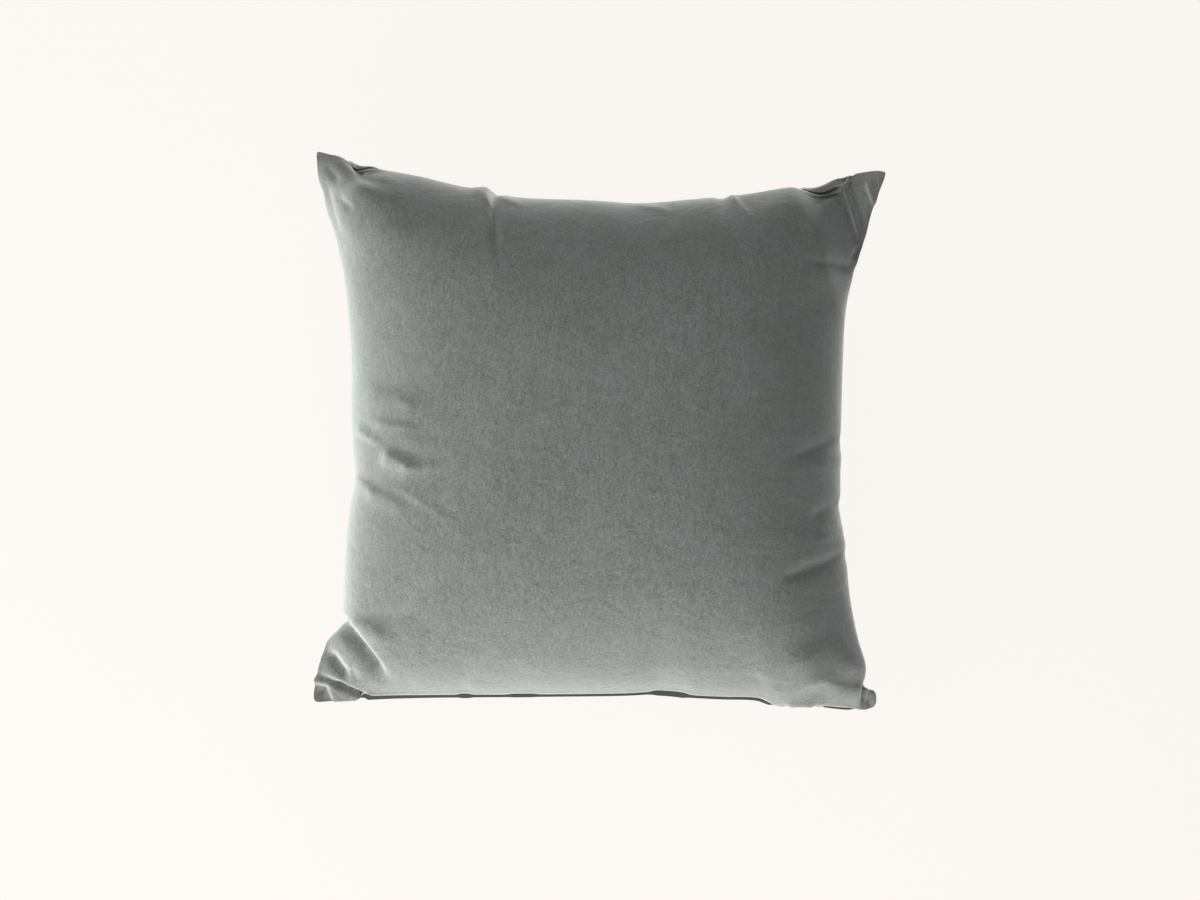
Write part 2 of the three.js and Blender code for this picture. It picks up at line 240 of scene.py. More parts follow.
# Creases too fine for the solid.
FINE_FOLDS = [
    # bottom left ear
    (-214, -206, -210, -216, -1.5, 3, 3),
    (-251, -221, -237, -224, -3.5, 2.5, 9),
    (-239, -223, -233, -236, -3.5, 2.5, 9),
    # top left ear
    (-211, 224, -190, 225, 1.5, 2, 2.5),
    (-234, 227, -223, 214, -1.5, 3, 3),
    (-220, 199, -208, 188, -1.5, 3, 3),
    (-233, 211, -223, 177, -1, 3, 3),
    # top right ear
    (233, 213, 239, 196, 3.5, 4, 2.2),
    (209, 215, 214, 197, 2, 4, 4),
    (231, 167, 221, 150, -2, 3, 3),
    # left side
    (-190, -3, -146, -11, 1.6, 5, 9),
    (-207, 2, -187, -9, 2.2, 2.2, 5),
    (-162, -30, -139, -30, 2.6, 3.5, 8),
    (-169, 26, -158, 22, 1.2, 2.5, 4),
    (-187, -42, -148, -54, 1.6, 8, 8),
    (-165, -52, -132, -71, 1, 2, 3),
    # right side
    (187, -30, 209, -22, 1.6, 4, 7),
    (189, -92, 211, -84, 1.6, 5, 5),
    (159, -125, 171, -122, -1.2, 4, 4),
    # top side
    (-83, 200, -68, 194, 1, 3, 3),
    (-106, 208, -92, 195, 1.2, 4, 3),
    (113, 205, 127, 183, 1.8, 3, 3),
    (60, 195, 64, 178, -1, 4, 3),
    (35, 194, 59, 189, 1, 3, 3),
    # bottom right ear
    (238, -224, 240, -241, 2.5, 3, 3),
    (238, -224, 237, -241, -5, 2.5, 2.5),
]
FOLD_FULL = 0.28  # share of a fold's length, from its middle out, that has its full depth
FOLD_EASE = 0.3  # share of its length over which it then fades
EAR_FOLD_FULLNESS = 0.15  # fullness from which the back panel takes no more of the folds

# The lamps of the stage: name, bearing from +X and elevation, in degrees. The last two stand under the
# floor, which lets all light through, and they light only the rims.
LAMPS = [
    ("low_light", 225, 15),
    ("near_light", 270, 12),
    ("near_high_light", 270, 35),
    ("left_high_light", 180, 35),
    ("far_light", 90, 22),
    ("left_under_light", 180, -30),
    ("corner_under_light", 45, -40),
]
# Sizes of the stage in metres, but for the camera's sensor, which is in millimetres.
LAMP_SIZE = 0.9
LAMP_DISTANCE = 1.4
FLOOR_REACH = 6.0
SENSOR_WIDTH = 36.0
VIEW_MIDDLE = (0.002, -0.0157)

# The velvet's own surface, with or without its pile.
PILE_ROUGHNESS = 0.95
PILE_SPECULAR = 0.1

# The cover's mesh and its simulation
FRONT_CELLS = 270  # cells along each side of the front panel
BACK_CELLS = FRONT_CELLS // 2  # the back panel shows less, so its cells are twice as wide
CLOTH_CELLS = 90  # the same for both panels in the simulation
SPLINE_STEPS = 64  # steps between two rows of a side
HELD_HEIGHT = 0.5  # the simulation holds the back panel where it lies lower than this over the floor
EASING_PASSES = 6  # how often the simulation's finest ripples are averaged out
FILLING_SHARE = 0.8  # how much of the simulation's movement the cover takes
# Painted shade: these back cells and the seam's groove are coloured dark for the shade that falls there.
SEAM_SHADE_ROWS = 3  # back cells along the bottom that are painted dark as the seam's shade
SEAM_SHADE_FROM = 0.48  # how far out along the top they start, as a share of half its cells


def srgb(hex_colour):
    """An sRGB hex colour as the linear colour that Blender's sockets take."""
    values = [int(hex_colour[k : k + 2], 16) / 255 for k in (1, 3, 5)]
    return tuple(v / 12.92 if v <= 0.04045 else ((v + 0.055) / 1.055) ** 2.4 for v in values)


def smooth_step(value):
    """Rises from 0 to 1 as the value does, level at both ends."""
    value = np.clip(value, 0.0, 1.0)
    return value * value * (3.0 - 2.0 * value)


def crowded(cells):
    """Places from -1 to 1 that crowd towards the seam, where the panels curve most."""
    even = np.linspace(-1.0, 1.0, cells + 1)
    return even + EDGE_DENSITY * (np.sin(0.5 * math.pi * even) - even)


def cubic_step(start, end, rise, fall, u):
    """A smooth way from start to end at u from 0 to 1, with its slopes at both ends given."""
    bend, twist = 3 * (end - start) - 2 * rise - fall, 2 * (start - end) + rise + fall
    return start + u * (rise + u * (bend + u * twist))


def side_curve(rows, places):
    """Points of a side at places from -1 to 1 along its length: a centripetal spline through its rows."""
    knots = np.array(rows, float)
    knots = np.vstack([2 * knots[0] - knots[1], knots, 2 * knots[-1] - knots[-2]])
    steps = np.sqrt(np.linalg.norm(np.diff(knots, axis=0), axis=1))
    u = np.linspace(0.0, 1.0, SPLINE_STEPS, endpoint=False)[:, None]
    pieces = []
    for k in range(1, len(knots) - 2):
        p0, p1, p2, p3 = knots[k - 1 : k + 3]
        d0, d1, d2 = steps[k - 1 : k + 2]
        slope1 = ((p1 - p0) / d0 - (p2 - p0) / (d0 + d1) + (p2 - p1) / d1) * d1
        slope2 = ((p2 - p1) / d1 - (p3 - p1) / (d1 + d2) + (p3 - p2) / d2) * d1
        pieces.append(cubic_step(p1, p2, slope1, slope2, u))
    points = np.vstack(pieces + [knots[-2:-1]])
    length = np.concatenate([[0.0], np.cumsum(np.linalg.norm(np.diff(points, axis=0), axis=1))])
    wanted = (np.asarray(places) + 1.0) / 2.0 * length[-1]
    return np.stack([np.interp(wanted, length, points[:, axis]) for axis in (0, 1)], axis=-1)


def off_straight(side, places):
    """How far a side's curve lies from the straight line between its two tips."""
    first, last = np.array(SIDES[side][0], float), np.array(SIDES[side][-1], float)
    share = ((places + 1.0) / 2.0)[:, None]
    return side_curve(SIDES[side], places) - (first + (last - first) * share)


def from_tip(ear, s, t):
    """The distance from a corner's tip along both sides together, on the flat panel."""
    level, upright = 1.0 - ear.across_x * s, 1.0 - ear.across_y * t
    return PANEL_HALF * ((1.0 + ear.skew) * level + (1.0 - ear.skew) * upright)


def seam_sheet(places, seam_height):
    """The sheet that spans the seam, as an array of points by row and column."""
    s, t = np.meshgrid(places, places)
    across, up = (s + 1.0) / 2.0, (t + 1.0) / 2.0
    tips = {name: np.array(place, float) for name, place in TIPS.items()}
    low = tips["bottom_left"] + (tips["bottom_right"] - tips["bottom_left"]) * across[..., None]
    high = tips["top_left"] + (tips["top_right"] - tips["top_left"]) * across[..., None]
    flat = low + (high - low) * up[..., None]
    flat += off_straight("left", places)[:, None] * ((1.0 - across) ** INWARD_FADE)[..., None]
    flat += off_straight("right", places)[:, None] * (across**INWARD_FADE)[..., None]
    flat += off_straight("bottom", places)[None] * ((1.0 - up) ** INWARD_FADE)[..., None]
    flat += off_straight("top", places)[None] * (up**INWARD_FADE)[..., None]
    flat *= (1.0 - TIP_BLUNT * np.abs(s * t) ** TIP_BLUNT_REACH)[..., None]
    height = np.full(s.shape, float(seam_height))
    for ear in EARS:
        height += ear.lift * smooth_step(1.0 - from_tip(ear, s, t) / ear.bend)
    return np.dstack([flat, height])


def fullness(places):
    """The filling's share of its full depth, from 0 at the seam to 1 in the middle."""
    s, t = np.meshgrid(places, places)
    across = 1.0 - np.abs(s) ** np.where(s < 0, FLANK_POWER["left"], FLANK_POWER["right"])
    up = 1.0 - np.abs(t) ** np.where(t < 0, FLANK_POWER["bottom"], FLANK_POWER["top"])
    share = np.maximum(across * up, 0.0) ** CROWN_POWER
    for ear in EARS:
        filled = (from_tip(ear, s, t) - ear.flat) / (ear.filled - ear.flat)
        share = share * (EAR_LEAST + (1.0 - EAR_LEAST) * smooth_step(filled))
    return share


def from_side(side, s, t):
    """The place along a side, the distance in from it on the flat panel, and the way in."""
    return {
        "bottom": (s, PANEL_HALF * (1.0 + t), (0, 1)),
        "top": (s, PANEL_HALF * (1.0 - t), (0, -1)),
        "left": (t, PANEL_HALF * (1.0 + s), (1, 0)),
        "right": (t, PANEL_HALF * (1.0 - s), (-1, 0)),
    }[side]


def roll_shift(panel, places):
    """How far the rolls of the seam move one panel."""
    s, t = np.meshgrid(places, places)
    shift = np.zeros(s.shape + (3,))
    for side, start, deep_from, deep_to, end, inward, onto in SEAM_ROLLS:
        along, distance, way = from_side(side, s, t)
        rising, falling = (along - start) / (deep_from - start), (end - along) / (end - deep_to)
        share = inward * smooth_step(np.minimum(rising, falling))
        at_seam = share * np.exp(-((distance / LIFTED_SPREAD) ** 2))
        if panel == onto:
            follow = share * np.exp(-((distance / LEANING_SPREAD) ** 2))
        else:
            swell = SWELL * smooth_step(share / SWELL)
            follow = at_seam - swell * (distance / SWELL_AT) * np.exp(1.0 - distance / SWELL_AT)
        shift[..., 0] += way[0] * follow
        shift[..., 1] += way[1] * follow
        shift[..., 2] += at_seam * ROLL_HEIGHT * (1 if onto == "front" else -1)
    return shift


def smooth_panel(panel, places, sizes):
    """One panel before its folds: the seam sheet pushed out by the filling, with the seam's rolls."""
    upwards, depth = (1, sizes["crown_rise"]) if panel == "front" else (-1, sizes["back_drop"])
    points = seam_sheet(places, sizes["seam_height"])
    points[..., 2] += upwards * (sizes["turned_edge"] + depth * fullness(places))
    return points + roll_shift(panel, places)


def grid_normals(points):
    """The way out of a panel at each point of its grid."""
    across = np.gradient(points, axis=1)
    up = np.gradient(points, axis=0)
    normals = np.cross(across, up)
    return normals / np.linalg.norm(normals, axis=-1, keepdims=True)


def fold_lift(folds, x, y):
    """How far the folds of a table lift the front panel at each point."""
    lift = np.zeros(x.shape)
    for x1, y1, x2, y2, out, left, right in folds:
        run_x, run_y = x2 - x1, y2 - y1
        length = math.hypot(run_x, run_y)
        along = ((x - x1) * run_x + (y - y1) * run_y) / length**2
        leftward = ((y - y1) * run_x - (x - x1) * run_y) / length
        spread = np.where(leftward > 0, left, right)
        beyond = np.maximum(0.0, np.abs(along - 0.5) - FOLD_FULL) / FOLD_EASE
        lift += out * np.exp(-((leftward / spread) ** 2) - beyond**2)
    return lift


def rest_on_floor(points):
    """Eases what would be under the floor onto it."""
    height = points[..., 2]
    eased = (height + CONTACT_EASE) ** 2 / (4.0 * CONTACT_EASE)
    points[..., 2] = np.where(height < -CONTACT_EASE, 0.0, np.where(height < CONTACT_EASE, eased, height))
    return points


def edge_places(cells):
    """The grid places round a panel's edge, anticlockwise from the bottom left tip, as (column, row)."""
    run = range(cells)
    places = [(k, 0) for k in run] + [(cells, k) for k in run]
    return places + [(cells - k, cells) for k in run] + [(0, cells - k) for k in run]


def stitch_line(front_edge, back_edge, sink):
    """The stitch line: halfway between the panels' edges and sunk in from the outline."""
    middle = (front_edge + back_edge) / 2.0
    run = np.roll(middle, -1, axis=0) - np.roll(middle, 1, axis=0)
    inward = np.stack([-run[:, 1], run[:, 0], np.zeros(len(run))], axis=1)
    return middle + sink * inward / np.linalg.norm(inward, axis=1, keepdims=True)


def panel_quads(cells, first, flipped):
    """The faces of a panel whose points are numbered from first on, turned over if flipped."""
    column, row = np.meshgrid(np.arange(cells), np.arange(cells))
    corner = first + row * (cells + 1) + column
    around = [corner, corner + 1, corner + cells + 2, corner + cells + 1]
    if flipped:
        around.reverse()
    return np.stack(around, axis=-1).reshape(-1, 4).tolist()


def closed_cover(front, back, sink):
    """Vertices and faces of the cover: two panels and the stitch line between them. The back panel may have
    half as many cells, and its edge then takes every other place of the front panel's edge."""
    cells, back_cells = front.shape[0] - 1, back.shape[0] - 1
    step = cells // back_cells
    places = edge_places(cells)
    front_at = [row * (cells + 1) + column for column, row in places]
    back_first = (cells + 1) ** 2
    back_at = [back_first + (row // step) * (back_cells + 1) + column // step for column, row in places]
    flat_front, flat_back = front.reshape(-1, 3), back.reshape(-1, 3)
    back_edge = flat_back[np.array(back_at) - back_first]
    if step == 2:  # the places between take the middle of their neighbours
        back_edge[1::2] = (back_edge[0::2] + np.roll(back_edge[0::2], -1, axis=0)) / 2.0
    stitches = stitch_line(flat_front[front_at], back_edge, sink)
    first = back_first + len(flat_back)
    faces = panel_quads(cells, 0, False) + panel_quads(back_cells, back_first, True)
    count = len(places)
    for k in range(count):
        after = (k + 1) % count
        faces.append([first + k, first + after, front_at[after], front_at[k]])
    for k in range(0, count, step):
        after = (k + step) % count
        between = [first + (k + m) % count for m in range(step, -1, -1)]
        faces.append([back_at[k], back_at[after]] + between)
    return np.vstack([flat_front, flat_back, stitches]), faces


def new_mesh(name, points, faces):
    """A mesh from points in metres and faces."""
    mesh = bpy.data.meshes.new(name)
    mesh.from_pydata([tuple(point) for point in points], [], faces)
    mesh.update()
    return mesh


def new_object(name, data):
    """An object in the scene, with its data."""
    piece = bpy.data.objects.new(name, data)
    bpy.context.scene.collection.objects.link(piece)
    return piece


def resample(field, places, wanted):
    """A grid of vectors read at other places, first across and then up, by smooth cubic steps."""

    def along_rows(values):
        slopes = np.gradient(values, places, axis=1)
        k = np.clip(np.searchsorted(places, wanted, side="right") - 1, 0, len(places) - 2)
        gap = places[k + 1] - places[k]
        u = ((wanted - places[k]) / gap)[None, :, None]
        gap = gap[None, :, None]
        start, end = values[:, k], values[:, k + 1]
        return cubic_step(start, end, slopes[:, k] * gap, slopes[:, k + 1] * gap, u)

    across = along_rows(field)
    return np.swapaxes(along_rows(np.swapaxes(across, 0, 1)), 0, 1)


def set_filling(cloth, cut, forces):
    """Gives the cloth simulation its forces. Its panels are at rest in the flat shape they are cut to."""
    settings = cloth.settings
    settings.quality = forces["quality"]
    settings.mass = forces["mass"]
    settings.tension_stiffness = settings.compression_stiffness = forces["stretch"]
    settings.shear_stiffness = forces["shear"]
    settings.bending_stiffness = forces["bending"]
    settings.tension_damping = settings.compression_damping = settings.shear_damping = forces["damping"]
    settings.use_pressure = True
    settings.uniform_pressure_force = forces["pressure"]
    settings.vertex_group_mass = "held"
    settings.rest_shape_key = cut
    settings.effector_weights.gravity = 0.0
    cloth.collision_settings.use_collision = False
    cloth.collision_settings.use_self_collision = False
    cloth.point_cache.frame_start = 1
    cloth.point_cache.frame_end = forces["frames"]


def fill_cover(sizes, forces):
    """Runs the cloth simulation: two flat square panels, held by their seam on the outline, are blown up by
    the filling. Returns how far it moves the front and back panels from the drawn form."""
    places = crowded(CLOTH_CELLS)
    count = (CLOTH_CELLS + 1) ** 2
    front = smooth_panel("front", places, sizes)
    back = rest_on_floor(smooth_panel("back", places, sizes))
    points, faces = closed_cover(front, back, sizes["stitch_sink"])
    piece = new_object("cover_filling", new_mesh("cover_filling", points * MM, faces))
    piece.shape_key_add(name="Basis")
    cut = piece.shape_key_add(name="cut")
    s, t = np.meshgrid(places, places)
    half = sizes["panel_cut"] / 2.0
    flat = np.dstack([s * half, t * half, np.full(s.shape, sizes["turned_edge"])]).reshape(-1, 3)
    edge = [row * (CLOTH_CELLS + 1) + column for column, row in edge_places(CLOTH_CELLS)]
    lower = flat * [1, 1, -1]
    flat_points = np.vstack([flat, lower, (flat[edge] + lower[edge]) / 2.0]) * MM
    cut.data.foreach_set("co", flat_points.astype(np.float32).ravel())
    held = piece.vertex_groups.new(name="held")
    held.add(edge + [count + k for k in edge] + list(range(2 * count, len(points))), 1.0, "REPLACE")
    floor_patch = np.nonzero(points[count : 2 * count, 2] < HELD_HEIGHT)[0] + count
    held.add([int(k) for k in floor_patch], 1.0, "REPLACE")
    set_filling(piece.modifiers.new("filling", "CLOTH"), cut, forces)
    scene = bpy.context.scene
    for number in range(1, forces["frames"] + 1):
        scene.frame_set(number)
    filled = piece.evaluated_get(bpy.context.evaluated_depsgraph_get())
    moved = np.empty(len(points) * 3, np.float32)
    filled.data.vertices.foreach_get("co", moved)
    moved = moved.reshape(-1, 3) / MM - points
    distance = np.linalg.norm(moved, axis=1, keepdims=True)
    moved *= np.minimum(1.0, forces["most"] / MM / np.maximum(distance, 1e-9))
    scene.frame_set(1)
    mesh = piece.data
    bpy.data.objects.remove(piece)
    bpy.data.meshes.remove(mesh)
    shape = (CLOTH_CELLS + 1, CLOTH_CELLS + 1, 3)
    return places, moved[:count].reshape(shape), moved[count : 2 * count].reshape(shape)


def eased(field, passes):
    """A grid of vectors with its finest ripples averaged out and its edge kept."""
    field = field.copy()
    for _ in range(passes):
        for inner in (field, np.swapaxes(field, 0, 1)):
            inner[1:-1] = (inner[:-2] + 2.0 * inner[1:-1] + inner[2:]) / 4.0
    return field


def painted_seam_shade_faces():
    """Marks the faces that take the painted seam shade, in the cover's order: the lower half of the seam's
    groove all round, its upper half along the bottom, and what shows past the front panel along the bottom
    and at both ends of the top. They are painted dark for the shade that falls in the groove and on the back
    panel's lip."""
    column, row = np.meshgrid(np.arange(BACK_CELLS), np.arange(BACK_CELLS))
    at_ends = np.abs(2 * column / BACK_CELLS - 1) > SEAM_SHADE_FROM
    back = (row < SEAM_SHADE_ROWS) | ((row == BACK_CELLS - 1) & at_ends)
    upper_groove = np.arange(4 * FRONT_CELLS) < FRONT_CELLS
    lower_groove = np.ones(4 * BACK_CELLS)
    marks = [np.zeros(FRONT_CELLS**2), back.ravel(), upper_groove, lower_groove]
    return np.concatenate(marks).astype(np.int32)


def build_cover(sizes, filling):
    """The cover as a fine closed mesh: the drawn form, moved as the simulation moved it, then creased."""
    front_places, back_places = crowded(FRONT_CELLS), crowded(BACK_CELLS)
    front = smooth_panel("front", front_places, sizes)
    back = smooth_panel("back", back_places, sizes)
    if filling:
        places, front_move, back_move = filling
        front = front + resample(eased(front_move, EASING_PASSES), places, front_places) * FILLING_SHARE
        back = back + resample(eased(back_move, EASING_PASSES), places, back_places) * FILLING_SHARE
    lift = fold_lift(FOLDS + FINE_FOLDS, front[..., 0], front[..., 1]) * sizes["fold_depth"]
    shift = grid_normals(front) * lift[..., None]
    folded = front + shift
    unfilled = 1.0 - smooth_step(fullness(back_places) / EAR_FOLD_FULLNESS)
    step = FRONT_CELLS // BACK_CELLS
    back = rest_on_floor(back + shift[::step, ::step] * unfilled[..., None])
    return closed_cover(folded, back, sizes["stitch_sink"])


def add_node(tree, kind, settings=None, links=None):
    """Adds a node, sets its properties and sockets by name, and links its sockets from other outputs."""
    node = tree.nodes.new(kind)
    for name, value in (settings or {}).items():
        if isinstance(name, str) and hasattr(node, name):
            setattr(node, name, value)
        else:
            node.inputs[name].default_value = value
    for name, output in (links or {}).items():
        tree.links.new(output, node.inputs[name])
    return node


def empty_material(name):
    """A material without any nodes, and its node tree."""
    material = bpy.data.materials.new(name)
    material.use_nodes = True
    material.node_tree.nodes.clear()
    return material, material.node_tree


def cotton_velvet(look):
    """Cotton velvet, woven with a cut pile about 2 mm high and sheared. The pile drinks the light that comes
    from straight above and glows where it is seen from the side, so the flanks turn pale and the face stays
    deep. Tufts about 0.4 mm apart are too fine to show, so the grain is drawn about four times as coarse.
    Patches where the pile was pressed tilt the light, and rare specks let the dark ground through."""
    material, tree = empty_material("cotton_velvet_sheared")
    place = add_node(tree, "ShaderNodeTexCoord").outputs["Object"]
    patterns = {}
    for name, size, detail, stretch, swirl in (
        ("grain", look["grain_size"], 2.0, 1.0, 0.0),
        ("nap", look["nap_size"], 3.0, look["nap_stretch"], 1.5),
        ("mottle", look["mottle_size"], 3.0, 1.0, 0.0),
        ("crumbs", look["crumb_size"], 1.0, 1.0, 1.0),
        ("crush", look["crush_size"], 2.0, 0.6, 1.2),
    ):
        squeeze = (1.0, 1.0 / stretch, 1.0)
        squeezed = add_node(tree, "ShaderNodeMapping", {"Scale": squeeze}, {"Vector": place})
        settings = {"Scale": 1.0 / size, "Detail": detail, "Roughness": 0.6, "Distortion": swirl}
        noise = add_node(tree, "ShaderNodeTexNoise", settings, {"Vector": squeezed.outputs["Vector"]})
        patterns[name] = noise.outputs["Fac"]
    grain, nap = patterns["grain"], patterns["nap"]
    pile = add_node(tree, "ShaderNodeMix", {0: look["nap_share"]}, {2: grain, 3: nap})
    tone = add_node(
        tree, "ShaderNodeMix", {0: look["mottle_share"]}, {2: pile.outputs[0], 3: patterns["mottle"]}
    )
    relief = add_node(tree, "ShaderNodeMix", {0: 0.5}, {2: grain, 3: nap})
    shares = {}
    for name, pattern, low, high in (
        ("depth", tone.outputs[0], 0.36, 0.64),
        ("speck", patterns["crumbs"], 0.66, 0.74),
        ("cool", patterns["mottle"], 0.4, 0.6),
    ):
        span = add_node(tree, "ShaderNodeMapRange", {"From Min": low, "From Max": high}, {"Value": pattern})
        shares[name] = span.outputs["Result"]
    light = add_node(
        tree,
        "ShaderNodeMix",
        {"data_type": "RGBA", 6: (*look["pile_light"], 1.0), 7: (*look["pile_cool"], 1.0)},
        {0: shares["cool"]},
    )
    colour = add_node(
        tree,
        "ShaderNodeMix",
        {"data_type": "RGBA", 6: (*look["pile_dark"], 1.0)},
        {0: shares["depth"], 7: light.outputs[2]},
    )
    crumbled = add_node(
        tree,
        "ShaderNodeMix",
        {"data_type": "RGBA", 7: (*look["ground"], 1.0)},
        {0: shares["speck"], 6: colour.outputs[2]},
    )
    crushed = add_node(
        tree,
        "ShaderNodeBump",
        {"Strength": 1.0, "Distance": look["crush_depth"]},
        {"Height": patterns["crush"]},
    )
    bump = add_node(
        tree,
        "ShaderNodeBump",
        {"Strength": 1.0, "Distance": look["pile_depth"]},
        {"Height": relief.outputs[0], "Normal": crushed.outputs["Normal"]},
    )
    velvet = add_node(
        tree,
        "ShaderNodeBsdfPrincipled",
        {
            "Roughness": PILE_ROUGHNESS,
            "Specular IOR Level": PILE_SPECULAR,
            "Sheen Weight": look["sheen"],
            "Sheen Roughness": look["sheen_roughness"],
            "Sheen Tint": (*look["sheen_colour"], 1.0),
        },
        {"Base Color": crumbled.outputs[2], "Normal": bump.outputs["Normal"]},
    )
    add_node(tree, "ShaderNodeOutputMaterial", links={"Surface": velvet.outputs["BSDF"]})
    return material


def painted_seam_shade_velvet(look):
    """Cotton velvet along the stitches, drawn in its dark woven ground's colour without sheen: painted shade
    where the seam's groove and the back panel's lip lie in shade.
    """
    material, tree = empty_material("cotton_velvet_ground")
    ground = add_node(
        tree,
        "ShaderNodeBsdfPrincipled",
        {
            "Base Color": (*look["ground"], 1.0),
            "Roughness": PILE_ROUGHNESS,
            "Specular IOR Level": PILE_SPECULAR,
        },
    )
    add_node(tree, "ShaderNodeOutputMaterial", links={"Surface": ground.outputs["BSDF"]})
    return material


def lit_acrylic(look):
    """Opal acrylic sheet, cast and lit evenly from below: it has no grain, and no shadow shows on it."""
    material, tree = empty_material("lit_opal_acrylic")
    sheet = add_node(
        tree,
        "ShaderNodeBsdfPrincipled",
        {
            "Base Color": (*look["floor_colour"], 1.0),
            "Roughness": 0.9,
            "Specular IOR Level": 0.0,
            "Emission Color": (*look["floor_glow"], 1.0),
            "Emission Strength": look["floor_strength"],
        },
    )
    add_node(tree, "ShaderNodeOutputMaterial", links={"Surface": sheet.outputs["BSDF"]})
    return material


def group_values(group):
    """A property group's values by name, as numbers and tuples."""
    names = [p.identifier for p in group.bl_rna.properties if p.identifier not in ("rna_type", "name")]
    values = {name: getattr(group, name) for name in names}
    return {name: tuple(value) if hasattr(value, "__len__") else value for name, value in values.items()}


class PillowSizes(bpy.types.PropertyGroup):
    """Sizes of the cover and its filling."""

    seam_height: bpy.props.FloatProperty(
        name="Seam height", description="Height of the seam above the floor", default=0.072, unit="LENGTH"
    )
    crown_rise: bpy.props.FloatProperty(
        name="Crown rise",
        description="Height of the front panel's middle above the seam",
        default=0.085,
        unit="LENGTH",
    )
    back_drop: bpy.props.FloatProperty(
        name="Back drop",
        description="Depth of the back panel's middle below the seam, if no floor stopped it",
        default=0.086,
        unit="LENGTH",
    )
    turned_edge: bpy.props.FloatProperty(
        name="Turned edge", description="Half thickness of the knife-edge seam", default=0.002, unit="LENGTH"
    )
    stitch_sink: bpy.props.FloatProperty(
        name="Stitch sink",
        description="Depth of the stitch line between the panels",
        default=0.0018,
        unit="LENGTH",
    )
    panel_cut: bpy.props.FloatProperty(
        name="Panel side",
        description="Side of each flat panel, from seam to seam",
        default=0.5,
        unit="LENGTH",
    )
    fold_depth: bpy.props.FloatProperty(
        name="Fold depth",
        description="Depth of the hand-set folds, as a share of the drawn depth",
        default=1.0,
        subtype="FACTOR",
    )


class FillingForces(bpy.types.PropertyGroup):
    """How hard the filling pushes and how the cloth answers."""

    pressure: bpy.props.FloatProperty(name="Pressure", description="Push of the filling", default=8.0)
    mass: bpy.props.FloatProperty(
        name="Mass", description="Mass of each cloth point", default=0.02, unit="MASS"
    )
    stretch: bpy.props.FloatProperty(name="Stretch", description="Stiffness against stretch", default=20.0)
    shear: bpy.props.FloatProperty(name="Shear", description="Stiffness against shear", default=5.0)
    bending: bpy.props.FloatProperty(name="Bending", description="Stiffness against bending", default=0.3)
    damping: bpy.props.FloatProperty(name="Damping", description="Damping of the cloth", default=2.0)
    quality: bpy.props.IntProperty(name="Steps", description="Steps in each frame", default=6)
    frames: bpy.props.IntProperty(name="Frames", description="Frames that the filling takes", default=30)
    most: bpy.props.FloatProperty(
        name="Most", description="The most that a point may move", default=0.012, unit="LENGTH"
    )


class VelvetLook(bpy.types.PropertyGroup):
    """Colours and grain of the velvet."""

    pile_dark: bpy.props.FloatVectorProperty(
        name="Pile shade", description="Depth of the pile", subtype="COLOR", size=3, default=srgb("#0a0b0a")
    )
    pile_light: bpy.props.FloatVectorProperty(
        name="Pile tips", description="Tips of the pile", subtype="COLOR", size=3, default=srgb("#61615b")
    )
    pile_cool: bpy.props.FloatVectorProperty(
        name="Cool pile tips",
        description="Tips of the pile in the cooler patches",
        subtype="COLOR",
        size=3,
        default=srgb("#5d625f"),
    )
    sheen_colour: bpy.props.FloatVectorProperty(
        name="Sheen", description="Pile seen from the side", subtype="COLOR", size=3, default=srgb("#f2f8f4")
    )
    # Used for the real dark specks in the pile, and also as painted shade along the seam's groove and the
    # back panel's lip.
    ground: bpy.props.FloatVectorProperty(
        name="Ground",
        description="Woven ground under the pile",
        subtype="COLOR",
        size=3,
        default=srgb("#3a3d3a"),
    )
    sheen: bpy.props.FloatProperty(name="Sheen weight", description="Strength of the sheen", default=1.0)
    sheen_roughness: bpy.props.FloatProperty(
        name="Sheen roughness", description="Spread of the sheen", default=0.7
    )
    grain_size: bpy.props.FloatProperty(
        name="Grain", description="Spacing of the pile's tufts as drawn", default=0.0016, unit="LENGTH"
    )
    nap_size: bpy.props.FloatProperty(
        name="Nap", description="Width of the streaks that the pile lies in", default=0.004, unit="LENGTH"
    )
    nap_stretch: bpy.props.FloatProperty(
        name="Nap stretch", description="Length of a streak over its width", default=3.5
    )
    nap_share: bpy.props.FloatProperty(
        name="Nap share", description="Strength of the streaks", default=0.4, subtype="FACTOR"
    )
    mottle_size: bpy.props.FloatProperty(
        name="Mottle", description="Size of the pile's light and dark patches", default=0.035, unit="LENGTH"
    )
    mottle_share: bpy.props.FloatProperty(
        name="Mottle share", description="Strength of the patches", default=0.14, subtype="FACTOR"
    )
    crumb_size: bpy.props.FloatProperty(
        name="Crumbs", description="Spacing of the dark specks in crushed pile", default=0.006, unit="LENGTH"
    )
    crush_size: bpy.props.FloatProperty(
        name="Crush",
        description="Size of the patches where the pile was pressed",
        default=0.03,
        unit="LENGTH",
    )
    crush_depth: bpy.props.FloatProperty(
        name="Crush depth", description="Depth of the pressed patches", default=0.0009, unit="LENGTH"
    )
    pile_depth: bpy.props.FloatProperty(
        name="Pile depth", description="Depth of the pile's grain", default=0.00035, unit="LENGTH"
    )


